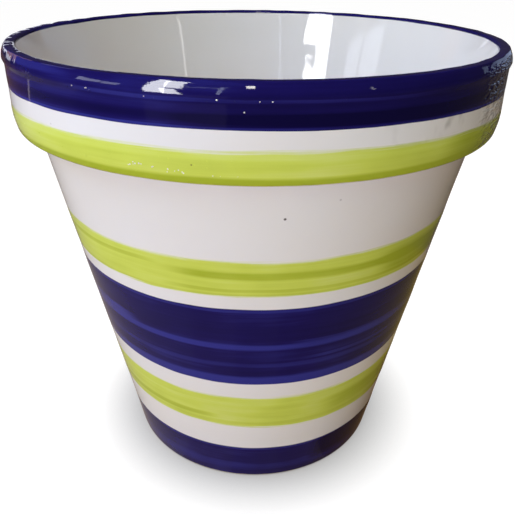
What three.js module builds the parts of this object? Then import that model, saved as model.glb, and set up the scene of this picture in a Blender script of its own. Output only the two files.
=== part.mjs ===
// A hand-painted, glazed earthenware plant pot: one fired piece, turned on a wheel.
// Millimetres, +Z up, the origin on the ground under the middle of the pot.
// Its closed wall section runs up the outside from the foot, over the lip, down the
// inside, across the floor, through the drain hole and back along the underside.

import * as THREE from "three";

// Overall sizes
const potHeight = 262.8;
const lipRadius = 139.7;

// Lip: a rolled bead at the top of the collar
const lipWidth = 7.3;
const lipDepth = 6.2;
const lipRound = 3.5;
const neckDrop = 3.2;
const neckRadius = 139;
const neckRound = 9;

// Collar: a deep band below the lip, with a soft heel and a flat underside
const collarDepth = 43;
const collarRadius = 138.4;
const heelHeight = 9.5;
const heelInset = 2.6;
const heelRound = 3;
const heelTopRound = 25;
const creaseRound = 1.6;

// Body: a straight cone from the ground to the crease under the collar
const bodyFootRadius = 85;
const bodyTopRadius = 127.7;
const wallThickness = 7.2;
const throatDrop = 10;
const throatRound = 110;

// Base: a floor with a drain hole, carried clear of the ground by a foot ring
const floorThickness = 9.5;
const floorRound = 13;
const footRingWidth = 11;
const footRound = 2.4;
const recessDepth = 5.5;
const recessRound = 3;
const drainRadius = 12;
const drainRound = 2;

// Painted bands: thick brushed colour that stands a little proud of the white glaze.
// Those on the body are heights above the ground, those on the collar drops from the rim.
const paintThickness = 0.3;
const paintEdge = 1.2;
const footBlueTop = 31;
const lowGreenBottom = 51.6;
const lowGreenTop = 78.2;
const middleBlueBottom = 90.9;
const middleBlueTop = 146.2;
const highGreenBottom = 154.5;
const highGreenTop = 176.3;
const heelGreenRise = 0.8;
const collarGreenDrop = 27.8;
const rimBlueDrop = 18.6;
const rimBlueInside = 4.6;

// The foot is wiped clean of glaze up to this height, so the underside is bare clay
const wipedHeight = 1.2;

// How finely the turned wall is faceted
const turns = 60;
const arcStep = THREE.MathUtils.degToRad(30);
const leastStep = 0.2;

const creaseHeight = potHeight - collarDepth;
const floorHeight = recessDepth + floorThickness;
const bodySlope = (bodyTopRadius - bodyFootRadius) / creaseHeight;

// Radius of the cone inside the body at a height, a wall's thickness in from the outside.
function insideRadius(height) {
  return bodyFootRadius + bodySlope * height - wallThickness * Math.hypot(1, bodySlope);
}

// A corner of the wall section: its radius, its height and how much it is rounded.
function corner(radius, height, round) {
  return { at: new THREE.Vector2(radius, height), round };
}

// The outside, from the edge of the foot to the outer edge of the lip's top.
function outsideCorners() {
  return [
    corner(bodyFootRadius, 0, footRound),
    corner(bodyTopRadius, creaseHeight, creaseRound),
    corner(collarRadius - heelInset, creaseHeight, heelRound),
    corner(collarRadius, creaseHeight + heelHeight, heelTopRound),
    corner(neckRadius, potHeight - lipDepth - neckDrop, neckRound),
    corner(lipRadius, potHeight - lipDepth, lipRound),
    corner(lipRadius, potHeight, lipRound),
  ];
}

// The inside and the base, from the inner edge of the lip's top round to the foot ring.
function insideCorners() {
  const throatHeight = creaseHeight - throatDrop;
  const ringRadius = bodyFootRadius - footRingWidth;
  return [
    corner(lipRadius - lipWidth, potHeight, lipRound),
    corner(insideRadius(throatHeight), throatHeight, throatRound),
    corner(insideRadius(floorHeight), floorHeight, floorRound),
    corner(drainRadius, floorHeight, drainRound),
    corner(drainRadius, recessDepth, drainRound),
    corner(ringRadius, recessDepth, recessRound),
    corner(ringRadius, 0, footRound),
  ];
}

// The points that replace a corner: an arc that touches both of its sides.
function roundedCorner(before, { at, round }, after) {
  const back = before.at.clone().sub(at);
  const ahead = after.at.clone().sub(at);
  const halfAngle = back.angleTo(ahead) / 2;
  const room = 0.48 * Math.min(back.length(), ahead.length());
  const reach = Math.min(round / Math.tan(halfAngle), room);
  const radius = reach * Math.tan(halfAngle);
  back.normalize();
  ahead.normalize();
  const start = at.clone().addScaledVector(back, reach);
  const middle = back.clone().add(ahead).normalize();
  const centre = at.clone().addScaledVector(middle, radius / Math.sin(halfAngle));
  const sweep = -Math.sign(back.cross(ahead)) * (Math.PI - 2 * halfAngle);
  const steps = Math.max(2, Math.ceil(Math.abs(sweep) / arcStep));
  const points = [];
  for (let i = 0; i <= steps; i += 1) {
    points.push(start.clone().rotateAround(centre, (sweep * i) / steps));
  }
  return points;
}

// The wall section before it is painted, as one closed run of points.
function bareSection() {
  const corners = [...outsideCorners(), ...insideCorners()];
  return corners.flatMap((here, i) =>
    roundedCorner(corners.at(i - 1), here, corners[(i + 1) % corners.length]),
  );
}

// The distance along a run of points from its start to each of them.
function distancesAlong(points) {
  const distances = [0];
  for (let i = 1; i < points.length; i += 1) {
    distances.push(distances[i - 1] + points[i].distanceTo(points[i - 1]));
  }
  return distances;
}

// The distance at which the section first passes a height, after one of its points.
function distanceAt(height, points, distances, after = 0) {
  const next = points.findIndex(
    (point, i) => i > after && (points[i - 1].y - height) * (point.y - height) <= 0,
  );
  const share = (height - points[next - 1].y) / (points[next].y - points[next - 1].y);
  return THREE.MathUtils.lerp(distances[next - 1], distances[next], share);
}

// Where the paint and the glaze start and end, as distances along the section.
function finishRuns(points, distances) {
  const outside = (height) => distanceAt(height, points, distances);
  const top = points.findLastIndex((point) => point.y > potHeight - lipRound / 2);
  const inside = (height) => distanceAt(height, points, distances, top);
  const green = { finish: "green" };
  const blue = { finish: "blue" };
  return {
    glaze: { from: outside(wipedHeight), to: inside(recessDepth + drainRound) },
    bands: [
      { ...blue, from: outside(wipedHeight), to: outside(footBlueTop) },
      { ...green, from: outside(lowGreenBottom), to: outside(lowGreenTop) },
      { ...blue, from: outside(middleBlueBottom), to: outside(middleBlueTop) },
      { ...green, from: outside(highGreenBottom), to: outside(highGreenTop) },
      {
        ...green,
        from: outside(creaseHeight + heelGreenRise),
        to: outside(potHeight - collarGreenDrop),
      },
      {
        ...blue,
        from: outside(potHeight - rimBlueDrop),
        to: inside(potHeight - rimBlueInside),
      },
    ],
  };
}

// The finish that shows at a distance along the section.
function finishAt(distance, { glaze, bands }) {
  if (distance < glaze.from || distance > glaze.to) return "clay";
  const band = bands.find(({ from, to }) => distance > from && distance < to);
  return band ? band.finish : "white";
}

// How far the paint stands proud at a distance along the section, with sloping edges.
function paintAt(distance, bands) {
  const depths = bands.map(({ from, to }) => Math.min(distance - from, to - distance));
  const share = Math.max(...depths) / paintEdge;
  return paintThickness * THREE.MathUtils.clamp(share, 0, 1);
}

// The distances at which the section has a point: its own points and the paint's edges.
function stopsAlong(distances, bands) {
  const edges = bands.flatMap(({ from, to }) => [from, from + paintEdge, to - paintEdge, to]);
  const stops = [...distances, ...edges].sort((a, b) => a - b);
  return stops.filter((stop, i) => i === 0 || stop - stops[i - 1] > leastStep);
}

// The painted wall section: its closed outline and the finish of each step along it.
function paintedSection() {
  const points = bareSection();
  const distances = distancesAlong(points);
  const runs = finishRuns(points, distances);
  const outline = [];
  const finishes = [];
  let last = 0;
  stopsAlong(distances, runs.bands).forEach((stop) => {
    const next = Math.max(1, distances.findIndex((reached) => reached >= stop));
    const step = points[next].clone().sub(points[next - 1]).normalize();
    const outward = new THREE.Vector2(step.y, -step.x);
    const bare = points[next - 1].clone().addScaledVector(step, stop - distances[next - 1]);
    outline.push(bare.addScaledVector(outward, paintAt(stop, runs.bands)));
    if (stop > 0) finishes.push(finishAt((last + stop) / 2, runs));
    last = stop;
  });
  return { outline: [...outline, outline[0]], finishes: [...finishes, "clay"] };
}

// The wall turned from its section, with its triangles grouped by finish.
function turnedWall({ outline, finishes }, order) {
  const wall = new THREE.LatheGeometry(outline, turns);
  const corners = Array.from(wall.index.array);
  const perStep = 6;
  const sorted = [];
  order.forEach((name, material) => {
    const chosen = corners.filter(
      (_, i) => finishes[Math.floor(i / perStep) % finishes.length] === name,
    );
    wall.addGroup(sorted.length, chosen.length, material);
    sorted.push(...chosen);
  });
  wall.setIndex(sorted);
  return wall.rotateX(Math.PI / 2);
}

const finishes = {
  white: new THREE.MeshStandardMaterial({ color: 0xd9d6d2, roughness: 0.12, metalness: 0 }),
  blue: new THREE.MeshStandardMaterial({ color: 0x1c1c66, roughness: 0.1, metalness: 0 }),
  green: new THREE.MeshStandardMaterial({ color: 0xb9c84c, roughness: 0.14, metalness: 0 }),
  clay: new THREE.MeshStandardMaterial({ color: 0xd8bd9c, roughness: 0.85, metalness: 0 }),
};

const pot = new THREE.Mesh(
  turnedWall(paintedSection(), Object.keys(finishes)),
  Object.values(finishes),
);
pot.name = "pot";

const plantPot = new THREE.Group();
plantPot.add(pot);

export default plantPot;
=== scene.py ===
"""Dresses a hand-painted, glazed plant pot: brushed bands, pooled glaze and a wiped clay foot.

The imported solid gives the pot's place and its overall size. This script turns the wall
again with a finer, slightly uneven surface, glazes it, and sets up its studio and camera.
Sizes along the wall are in millimetres; everything handed to the scene is in metres.
"""

import cmath
import logging
import math
from dataclasses import dataclass, field
from enum import Enum
from typing import Any, Union

import bmesh
import bpy
import numpy as np
from mathutils import Matrix, Vector


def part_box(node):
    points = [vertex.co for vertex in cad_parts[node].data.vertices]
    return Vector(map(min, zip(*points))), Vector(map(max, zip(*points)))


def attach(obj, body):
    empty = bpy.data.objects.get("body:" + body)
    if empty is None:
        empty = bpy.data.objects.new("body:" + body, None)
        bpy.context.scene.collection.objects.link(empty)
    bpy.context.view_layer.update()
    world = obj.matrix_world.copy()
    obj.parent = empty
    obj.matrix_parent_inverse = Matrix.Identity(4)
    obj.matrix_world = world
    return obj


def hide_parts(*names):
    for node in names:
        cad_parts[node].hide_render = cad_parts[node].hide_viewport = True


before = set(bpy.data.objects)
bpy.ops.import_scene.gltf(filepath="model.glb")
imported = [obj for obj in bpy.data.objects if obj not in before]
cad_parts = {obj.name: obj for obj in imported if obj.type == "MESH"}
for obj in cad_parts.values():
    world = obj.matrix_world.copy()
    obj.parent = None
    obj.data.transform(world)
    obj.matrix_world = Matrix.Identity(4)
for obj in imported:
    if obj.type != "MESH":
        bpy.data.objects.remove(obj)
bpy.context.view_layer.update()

NODE = "pot"
MM = 0.001
FULL_TURN = 2 * math.pi
RUN = "run"

RGB = tuple[float, float, float]
Operand = Union["Socket", float, tuple]

DAYLIGHT: RGB = (0.97, 0.98, 1.0)
SKYLIGHT: RGB = (0.9, 0.95, 1.1)
DIM_ROOM: RGB = (0.10, 0.08, 0.065)

log = logging.getLogger("plant_pot")


class Pigment(Enum):
    """The two brushed colours."""

    COBALT = "cobalt"
    CHARTREUSE = "chartreuse"


class Coat(Enum):
    """What covers the clay, in the order of the wall's material slots."""

    GLAZE = 0
    BARE = 1


class Shows(Enum):
    """How a lamp shows on the pot: it lights it, or only the gloss mirrors it."""

    AS_LIGHT = "as light"
    IN_THE_GLOSS = "in the gloss"


class Socket:
    """An output of a shader node. Arithmetic on it adds Math nodes to its shader."""

    def __init__(self, shader: "Shader", output: bpy.types.NodeSocket) -> None:
        """Keeps the output and the shader that it belongs to."""
        self.shader = shader
        self.output = output

    def math(self, operation: str, *operands: Operand) -> "Socket":
        """Adds a Math node whose operands are given in order."""
        inputs = dict(enumerate(operands))
        return self.shader.node("ShaderNodeMath", {"operation": operation}, inputs)

    def __add__(self, other: Operand) -> "Socket":
        """Adds a value or another socket."""
        return self.math("ADD", self, other)

    def __radd__(self, other: Operand) -> "Socket":
        """Adds this socket to a value."""
        return self.math("ADD", other, self)

    def __sub__(self, other: Operand) -> "Socket":
        """Takes a value or another socket from this one."""
        return self.math("SUBTRACT", self, other)

    def __rsub__(self, other: Operand) -> "Socket":
        """Takes this socket from a value."""
        return self.math("SUBTRACT", other, self)

    def __mul__(self, other: Operand) -> "Socket":
        """Multiplies by a value or another socket."""
        return self.math("MULTIPLY", self, other)

    def __rmul__(self, other: Operand) -> "Socket":
        """Multiplies a value by this socket."""
        return self.math("MULTIPLY", other, self)

    def __abs__(self) -> "Socket":
        """The value without its sign."""
        return self.math("ABSOLUTE", self)

    def at_least(self, other: Operand) -> "Socket":
        """The larger of this socket and another value."""
        return self.math("MAXIMUM", self, other)

    def eased(self, start: float, end: float) -> "Socket":
        """Steps smoothly from 0 to 1.

        Args:
            start: where the step starts.
            end: where it ends, on either side of the start.

        Returns:
            0 up to the start, 1 from the end on, and a smooth step between them.
        """
        settings = {"interpolation_type": "SMOOTHSTEP"}
        inputs = {"Value": self, "From Min": start, "From Max": end}
        return self.shader.node("ShaderNodeMapRange", settings, inputs)


class Shader:
    """The node tree of a material or of a world, built node by node."""

    def __init__(self, owner: Union[bpy.types.Material, bpy.types.World]) -> None:
        """Starts an empty tree.

        Args:
            owner: the new material or world that the tree is for.
        """
        owner.use_nodes = True
        self.owner = owner
        self.tree = owner.node_tree
        self.tree.nodes.clear()

    @classmethod
    def of_material(cls, name: str) -> "Shader":
        """Starts the tree of a new material."""
        return cls(bpy.data.materials.new(name))

    @staticmethod
    def pick(sockets: bpy.types.bpy_prop_collection, key: Union[int, str]) -> Any:
        """Finds a socket.

        Args:
            sockets: a node's inputs or outputs.
            key: the socket's place or its name.

        Returns:
            The socket at that place, or the one in use that has that name.
        """
        if isinstance(key, int):
            return sockets[key]
        return next(s for s in sockets if s.name == key and s.enabled)

    def add(
        self, kind: str, settings: dict[str, Any], inputs: dict[Union[int, str], Any]
    ) -> bpy.types.Node:
        """Adds a node.

        Args:
            kind: the node's type.
            settings: its properties, set first; "stops" holds a ramp's places and colours.
            inputs: values or sockets for its inputs, by name or by place.

        Returns:
            The node.
        """
        made = self.tree.nodes.new(kind)
        for name, value in settings.items():
            if name == "stops":
                self.set_stops(made.color_ramp, value)
            else:
                setattr(made, name, value)
        for key, value in inputs.items():
            socket = self.pick(made.inputs, key)
            if isinstance(value, Socket):
                self.tree.links.new(value.output, socket)
            else:
                socket.default_value = value
        return made

    def node(
        self,
        kind: str,
        settings: dict[str, Any],
        inputs: dict[Union[int, str], Any],
        output: Union[int, str] = 0,
    ) -> Socket:
        """Adds a node, as above, and gives the output that is wanted of it."""
        made = self.add(kind, settings, inputs)
        return Socket(self, self.pick(made.outputs, output))

    @staticmethod
    def set_stops(ramp: bpy.types.ColorRamp, stops: list[tuple[float, RGB]]) -> None:
        """Gives a colour ramp its stops.

        Args:
            ramp: the ramp.
            stops: each stop's place and colour.
        """
        while len(ramp.elements) < len(stops):
            ramp.elements.new(0.5)
        for element, (place, colour) in zip(ramp.elements, stops):
            element.position = place
            element.color = (*colour, 1.0)

    def vector(self, operation: str, *operands: Operand) -> Socket:
        """Adds a Vector Math node.

        Args:
            operation: what it works out.
            operands: the values or sockets that it takes, in order.

        Returns:
            Its result: a number for a distance or a dot product, and a vector otherwise.
        """
        output = "Value" if operation in ("DISTANCE", "DOT_PRODUCT") else "Vector"
        inputs = dict(enumerate(operands))
        return self.node("ShaderNodeVectorMath", {"operation": operation}, inputs, output)

    def blend(self, share: Operand, first: Operand, second: Operand) -> Socket:
        """Mixes two colours.

        Args:
            share: how much of the second colour there is.
            first: the first colour or socket.
            second: the second colour or socket.

        Returns:
            The mixed colour.
        """
        first, second = (c if isinstance(c, Socket) else (*c, 1.0) for c in (first, second))
        inputs = {"Factor": share, "A": first, "B": second}
        return self.node("ShaderNodeMix", {"data_type": "RGBA"}, inputs, "Result")

    def noise(self, place: Socket, scale: float, detail: float = 2.0) -> Socket:
        """Noise round 0, from about -0.5 to 0.5, with a number of features per unit."""
        inputs = {"Vector": place, "Scale": scale, "Detail": detail}
        return self.node("ShaderNodeTexNoise", {}, inputs, "Fac") - 0.5

    def seen(self) -> Socket:
        """Tells what is seen from what only throws light.

        Returns:
            1 for what is seen directly, in gloss or through glass, and 0 for light.
        """
        camera, glossy, through = (
            self.node("ShaderNodeLightPath", {}, {}, f"Is {kind} Ray")
            for kind in ("Camera", "Glossy", "Transmission")
        )
        return camera.at_least(glossy).at_least(through)

    def ends_in(self, surface: Socket) -> Any:
        """Ends the tree.

        Args:
            surface: the surface shader that it ends in.

        Returns:
            The material or world that the tree is for.
        """
        kind = "World" if isinstance(self.owner, bpy.types.World) else "Material"
        self.add(f"ShaderNodeOutput{kind}", {}, {"Surface": surface})
        return self.owner


def direction(degrees: float) -> tuple[float, float, float]:
    """The level direction at an angle to the right of the front, seen from the front."""
    return (math.sin(math.radians(degrees)), -math.cos(math.radians(degrees)), 0.0)


def placed(name: str, data: bpy.types.ID) -> bpy.types.Object:
    """Puts a mesh, a lamp or a camera into the scene.

    Args:
        name: what its object is called.
        data: the mesh, lamp or camera.

    Returns:
        The object.
    """
    thing = bpy.data.objects.new(name, data)
    bpy.context.scene.collection.objects.link(thing)
    return thing


@dataclass(frozen=True)
class Ripple:
    """An unevenness that runs round the pot and closes on itself.

    Attributes:
        size: its height, in millimetres.
        fewest: the number of waves round the pot in its longest wave.
        most: the number in its shortest.
        seed: what its waves are drawn from.
        WAVE_SHARES: the least and the most weight of a wave, before short ones are lowered.
    """

    size: float
    fewest: int
    most: int
    seed: int

    WAVE_SHARES = (0.3, 1.0)

    def at(self, turn: np.ndarray) -> np.ndarray:
        """Works out its height.

        Args:
            turn: angles round the pot.

        Returns:
            The height at each angle.
        """
        draw = np.random.default_rng(self.seed)
        counts = np.arange(self.fewest, self.most + 1)
        phases = draw.uniform(0, FULL_TURN, len(counts))
        shares = draw.uniform(*self.WAVE_SHARES, len(counts)) / np.sqrt(counts)
        waves = shares * np.sin(np.multiply.outer(turn, counts) + phases)
        return self.size * waves.sum(axis=-1) / np.sqrt((shares**2).sum())


@dataclass(frozen=True)
class WallSection:
    """The closed section of the wall, in millimetres.

    It runs up the outside from the foot, over the lip, down the inside, across the floor,
    through the drain hole and back along the underside. Places are complex numbers, with
    the radius as the real part and the height as the imaginary part. The sizes whose names
    end in round are the radii of its corners.

    Attributes:
        points: its points, once its corners are rounded; the last one is the first again.
        runs: the distance along it to each of them.
        ARC_STEP: the angle from point to point of a rounded corner.
        FLAT_TOP: how far below the rim its points count as the rim's.
        HEADING_REACH: how far to each side of a point the wall's heading is measured.
    """

    height: float
    lip_radius: float
    lip_width: float = 7.3
    lip_depth: float = 6.2
    lip_foot_round: float = 1.6
    lip_shoulder: complex = -0.2 + 2.4j
    lip_shoulder_round: float = 9.0
    lip_top_inset: float = 2.0
    lip_outer_round: float = 1.3
    lip_inner_round: float = 2.0
    neck_drop: float = 2.6
    neck_radius: float = 138.7
    neck_round: float = 2.5
    collar_depth: float = 43.0
    collar_radius: float = 138.8
    heel_height: float = 8.5
    heel_inset: float = 1.7
    heel_round: float = 2.8
    heel_top_round: float = 25.0
    crease_round: float = 1.6
    foot_radius: float = 85.3
    body_top_radius: float = 127.7
    wall: float = 7.2
    throat_drop: float = 10.0
    throat_round: float = 110.0
    floor_height: float = 15.0
    floor_round: float = 13.0
    ring_width: float = 11.0
    foot_round: float = 2.4
    recess_depth: float = 5.5
    recess_round: float = 3.0
    drain_radius: float = 12.0
    drain_round: float = 2.0
    points: np.ndarray = field(init=False, repr=False)
    runs: np.ndarray = field(init=False, repr=False)

    ARC_STEP = math.radians(4)
    FLAT_TOP = 0.01
    HEADING_REACH = 0.15

    def __post_init__(self) -> None:
        """Rounds the corners once and measures along them."""
        corners = self.corners()
        places = np.array([place for place, _ in corners])
        back, ahead = np.roll(places, 1) - places, np.roll(places, -1) - places
        halves = np.abs(np.angle(ahead / back)) / 2
        wanted = np.array([radius for _, radius in corners]) / np.tan(halves)
        room = np.abs(ahead) / (wanted + np.roll(wanted, -1))
        reaches = wanted * np.minimum(1, np.minimum(room, np.roll(room, 1)))
        points = []
        for place, before, after, reach in zip(places, back, ahead, reaches):
            points += self.rounded(place, before, after, reach)
        closed = np.array(points + points[:1])
        object.__setattr__(self, "points", closed)
        runs = np.concatenate([[0.0], np.cumsum(np.abs(np.diff(closed)))])
        object.__setattr__(self, "runs", runs)

    @property
    def crease(self) -> float:
        """The height of the crease under the collar."""
        return self.height - self.collar_depth

    @property
    def length(self) -> float:
        """The whole way round the section."""
        return float(self.runs[-1])

    def inner_radius(self, height: float) -> float:
        """The radius of the cone inside the body at a height."""
        slope = (self.body_top_radius - self.foot_radius) / self.crease
        return self.foot_radius + slope * height - self.wall * math.hypot(1, slope)

    def corners(self) -> list[tuple[complex, float]]:
        """Lists the section's corners.

        Returns:
            Each corner's place and how much it is rounded.
        """
        lip_foot = self.height - self.lip_depth
        throat = self.crease - self.throat_drop
        ring = self.foot_radius - self.ring_width
        lip = complex(self.lip_radius, lip_foot)
        return [
            (complex(self.foot_radius, 0), self.foot_round),
            (complex(self.body_top_radius, self.crease), self.crease_round),
            (complex(self.collar_radius - self.heel_inset, self.crease), self.heel_round),
            (complex(self.collar_radius, self.crease + self.heel_height), self.heel_top_round),
            (complex(self.neck_radius, lip_foot - self.neck_drop), self.neck_round),
            (lip, self.lip_foot_round),
            (lip + self.lip_shoulder, self.lip_shoulder_round),
            (complex(self.lip_radius - self.lip_top_inset, self.height), self.lip_outer_round),
            (complex(self.lip_radius - self.lip_width, self.height), self.lip_inner_round),
            (complex(self.inner_radius(throat), throat), self.throat_round),
            (complex(self.inner_radius(self.floor_height), self.floor_height), self.floor_round),
            (complex(self.drain_radius, self.floor_height), self.drain_round),
            (complex(self.drain_radius, self.recess_depth), self.drain_round),
            (complex(ring, self.recess_depth), self.recess_round),
            (complex(ring, 0), self.foot_round),
        ]

    def rounded(self, at: complex, back: complex, ahead: complex, reach: float) -> list[complex]:
        """Replaces a corner by an arc that touches both of its sides.

        Args:
            at: the corner.
            back: the way to the corner before it.
            ahead: the way to the corner after it.
            reach: how far along its sides the arc starts.

        Returns:
            The points of the arc.
        """
        corner = cmath.phase(ahead / back)
        half = abs(corner) / 2
        middle = back / abs(back) + ahead / abs(ahead)
        centre = at + middle / abs(middle) * reach / math.cos(half)
        spoke = at + back / abs(back) * reach - centre
        sweep = -math.copysign(math.pi - 2 * half, corner)
        steps = max(2, math.ceil(abs(sweep) / self.ARC_STEP))
        return [centre + spoke * cmath.exp(1j * sweep * i / steps) for i in range(steps + 1)]

    def at(self, run: np.ndarray) -> np.ndarray:
        """Finds places on the section.

        Args:
            run: distances along it.

        Returns:
            The place at each distance.
        """
        run = np.mod(run, self.length)
        radius = np.interp(run, self.runs, self.points.real)
        return radius + 1j * np.interp(run, self.runs, self.points.imag)

    def outward(self, run: np.ndarray) -> np.ndarray:
        """Finds which way the wall faces.

        Args:
            run: distances along the section.

        Returns:
            The direction square to the wall, out of the clay, at each distance.
        """
        along = self.at(run + self.HEADING_REACH) - self.at(run - self.HEADING_REACH)
        return -1j * along / np.abs(along)

    def run_at(self, height: float, inside: bool = False) -> float:
        """The distance along the section at which the wall passes a height.

        Args:
            height: the height above the ground.
            inside: whether the inside of the wall is meant.

        Returns:
            The distance from the foot's outer edge.
        """
        top = int(np.argmax(self.points.imag > self.height - self.FLAT_TOP))
        part = slice(top + 1, None) if inside else slice(0, top + 1)
        heights, runs = self.points.imag[part], self.runs[part]
        step = int(np.argmax((heights[:-1] - height) * (heights[1:] - height) <= 0))
        share = (height - heights[step]) / (heights[step + 1] - heights[step])
        return float(runs[step] + share * (runs[step + 1] - runs[step]))


@dataclass(frozen=True)
class Edge:
    """An edge of a brushed band.

    Attributes:
        run: its place along the wall.
        fade: how softly the paint fades over it.
        tilt: how much farther along the wall it is at the right than in front.
        bow: how much farther it is in front and behind than between them.
    """

    run: float
    fade: float = 0.5
    tilt: float = 0.0
    bow: float = 0.0

    def sway(self, turn: np.ndarray) -> np.ndarray:
        """How far the edge is from its mean place at angles round the pot."""
        return self.tilt * np.cos(turn) - self.bow * np.cos(2 * turn)


@dataclass(frozen=True)
class Band:
    """A brushed band of one colour, between two edges."""

    pigment: Pigment
    start: Edge
    end: Edge


@dataclass(frozen=True)
class Ring:
    """A stroke that goes all the way round: its place along the wall, width and weight."""

    pigment: Pigment
    run: float
    width: float
    weight: float


@dataclass(frozen=True)
class Stroke:
    """A stroke that goes part of the way round. Some of them are painted light and shade.

    Attributes:
        pigment: its colour.
        run: its place along the wall.
        width: its width.
        middle: the direction of its middle, in degrees to the right of the front.
        reach: how far it goes to each side of that, in degrees.
        weight: how much more paint there is, or less where it is below 0.
    """

    pigment: Pigment
    run: float
    width: float
    middle: float
    reach: float
    weight: float


@dataclass(frozen=True)
class Brushwork:
    """The painter's work: six bands, and the strokes that show in them.

    The edges of the bands are given by their heights above the ground, and on the collar by
    their rise over the crease or their drop below the rim.

    Attributes:
        section: the wall's section.
        thickness: how far the paint stands proud.
        slope: how wide its sloping edges are.
        edge_waver: how far the bands' edges stray from true.
        waver_reach: how far along the wall that is felt.
        EDGE_WAVES: the fewest and the most waves round the pot in an edge.
        EDGE_SEED: what the first edge's waves are drawn from.
    """

    section: WallSection
    thickness: float = 0.1
    slope: float = 2.4
    wiped_height: float = 1.2
    foot_blue_top: float = 29.6
    low_green_bottom: float = 50.4
    low_green_top: float = 77.6
    middle_blue_bottom: float = 90.1
    middle_blue_top: float = 145.5
    high_green_bottom: float = 153.7
    high_green_top: float = 175.5
    heel_green_rise: float = 0.8
    collar_green_drop: float = 28.1
    rim_blue_drop: float = 19.5
    rim_blue_inside: float = 1.8
    edge_waver: float = 0.13
    waver_reach: float = 5.0

    EDGE_WAVES = (1, 30)
    EDGE_SEED = 100

    def bands(self) -> list[Band]:
        """Lists the bands.

        Returns:
            The bands, from the foot up to the rim.
        """
        at, rim = self.section.run_at, self.section.height
        blue, green = Pigment.COBALT, Pigment.CHARTREUSE
        return [
            Band(blue, Edge(at(self.wiped_height)), Edge(at(self.foot_blue_top), 0.8, -0.4, 0.4)),
            Band(
                green,
                Edge(at(self.low_green_bottom), 2.0, -1.2, 1.1),
                Edge(at(self.low_green_top), 2.6, 0.5, -0.2),
            ),
            Band(
                blue,
                Edge(at(self.middle_blue_bottom), 0.7, -0.3, -0.5),
                Edge(at(self.middle_blue_top), 0.5, 0.3, 0.4),
            ),
            Band(
                green,
                Edge(at(self.high_green_bottom), 1.6, 0.9, 0.6),
                Edge(at(self.high_green_top), 2.6, 0.6),
            ),
            Band(
                green,
                Edge(at(self.section.crease + self.heel_green_rise), 0.6),
                Edge(at(rim - self.collar_green_drop), 2.6, -0.5, 0.7),
            ),
            Band(
                blue,
                Edge(at(rim - self.rim_blue_drop), 0.3, -0.2, 0.6),
                Edge(at(rim - self.rim_blue_inside, inside=True)),
            ),
        ]

    def rings(self) -> list[Ring]:
        """Lists the strokes that go all the way round.

        The green one at the heel is partly painted shade.

        Returns:
            The blue ones from the foot up, then the green ones.
        """
        at, crease, rim = self.section.run_at, self.section.crease, self.section.height
        blue, green = Pigment.COBALT, Pigment.CHARTREUSE
        return [
            Ring(blue, at(10.0), 12.0, -0.16),
            Ring(blue, at(28.6), 2.6, -0.25),
            Ring(blue, at(93.0), 9.0, -0.62),
            Ring(blue, at(99.5), 4.0, 0.08),
            Ring(blue, at(105.0), 5.0, -0.22),
            Ring(blue, at(118.8), 6.0, -0.45),
            Ring(blue, at(127.0), 12.0, 0.10),
            Ring(blue, at(144.2), 2.6, -0.30),
            Ring(blue, at(rim - 18.7), 2.0, -0.35),
            Ring(blue, at(rim - 14.5), 6.0, 0.32),
            Ring(green, at(54.0), 5.0, 0.12),
            Ring(green, at(154.8), 2.5, 0.10),
            # Darker green round the heel: partly paint pooled at the band's foot, partly painted
            # shade under the collar.
            Ring(green, at(crease + 2.2), 6.5, 0.55),
            Ring(green, at(rim - 30.0), 5.0, -0.10),
        ]

    def strokes(self) -> list[Stroke]:
        """Lists the strokes that go part of the way round, as they show from the front.

        Some of them are painted shade, a painted highlight or a painted reflection, as marked.

        Returns:
            The blue ones from the foot up, then the green ones.
        """
        at, crease, rim = self.section.run_at, self.section.crease, self.section.height
        blue, green = Pigment.COBALT, Pigment.CHARTREUSE
        return [
            # Darker on the right of the foot band: painted shade.
            Stroke(blue, at(20.0), 30.0, 62, 34, 0.60),
            Stroke(blue, at(109.0), 3.5, 44, 26, -0.25),
            Stroke(blue, at(119.5), 4.0, -42, 30, -0.35),
            Stroke(blue, at(122.0), 3.5, 42, 30, -0.22),
            Stroke(blue, at(123.5), 8.0, -60, 20, -0.55),
            Stroke(blue, at(rim - 16.0), 8.0, 14, 26, 0.26),
            Stroke(blue, at(rim - 13.0), 16.0, -36, 23, -0.10),
            # Darker towards the right of the rim band: painted shade.
            Stroke(blue, at(rim - 12.0), 22.0, 42, 52, 0.22),
            # A lighter line in front at the lip's foot: partly thin glaze over the ridge, partly
            # painted highlight.
            Stroke(blue, at(rim - 7.4), 2.6, 0, 32, -0.30),
            # A dark blotch at the lip's left end: painted dark reflection.
            Stroke(blue, at(rim - 4.0), 8.0, -66, 9, 0.45),
            Stroke(blue, at(rim - 2.0), 5.0, -56, 18, -0.25),
            Stroke(green, at(58.5), 6.0, -38, 22, 0.35),
            # Darker on the right of the low green band: painted shade.
            Stroke(green, at(64.0), 18.0, 55, 28, 0.26),
            Stroke(green, at(157.5), 3.5, 20, 40, 0.20),
            # Darker on the right of the high green band: painted shade.
            Stroke(green, at(165.0), 22.0, 66, 30, 0.42),
            Stroke(green, at(167.0), 7.0, 34, 52, 0.40),
            Stroke(green, at(169.5), 4.0, -44, 16, 0.30),
            # Darker on the right of the collar's green band: painted shade.
            Stroke(green, at(crease + 8.0), 26.0, 68, 28, 0.42),
        ]

    def relief(self, run: np.ndarray) -> np.ndarray:
        """Works out how thick the paint lies.

        Args:
            run: distances along the wall.

        Returns:
            How far it stands proud of the glaze at each distance.
        """
        depth = [np.minimum(run - band.start.run, band.end.run - run) for band in self.bands()]
        share = np.clip(np.max(depth, axis=0) / self.slope, 0, 1)
        return self.thickness * share * share * (3 - 2 * share)

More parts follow.
